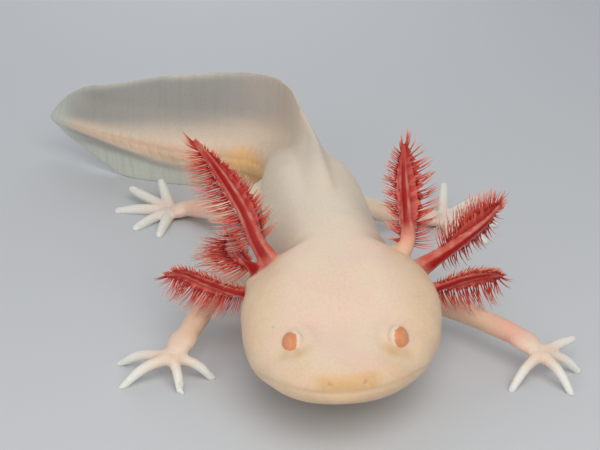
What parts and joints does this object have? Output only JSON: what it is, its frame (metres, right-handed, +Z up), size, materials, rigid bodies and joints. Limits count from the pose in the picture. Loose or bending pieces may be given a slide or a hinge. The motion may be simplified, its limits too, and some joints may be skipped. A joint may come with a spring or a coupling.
{
  "type": "axolotl",
  "caption": "Life-size albino axolotl standing on four spread feet, with a broad flat head, feathery red gills and a finned tail swung to its right.",
  "frame": {"origin": "on the floor, under the middle of the whole animal's box", "axes": "+Z up from the floor; the animal looks along -Y, so its own left side is at +X and its tail is behind it at +Y, swung towards -X"},
  "size_m": [0.157, 0.1934, 0.0514],
  "materials": {
    "skin": "pale pink-cream skin, smooth, moist and slightly translucent",
    "fin": "thin translucent fin skin, smooth and moist",
    "gill": "blood-red stalks with rosy filaments, moist",
    "eye": "salmon-orange, polished"
  },
  "bodies": {
    "root": {"head": "skin", "lower_jaw": "skin", "shoulders": "skin", "trunk": "skin", "hips": "skin", "tail_base": "skin", "tail_middle": "skin", "tail_tip": "skin", "left_upper_arm": "skin", "left_forearm": "skin", "left_hand": "skin", "right_upper_arm": "skin", "right_forearm": "skin", "right_hand": "skin", "left_thigh": "skin", "left_shank": "skin", "left_foot": "skin", "right_thigh": "skin", "right_shank": "skin", "right_foot": "skin", "dorsal_fin": "fin", "upper_tail_fin": "fin", "lower_tail_fin": "fin", "left_gill_upper": "gill", "left_gill_middle": "gill", "left_gill_lower": "gill", "right_gill_upper": "gill", "right_gill_middle": "gill", "right_gill_lower": "gill", "left_eye": "eye", "right_eye": "eye"}
  },
  "joints": []
}
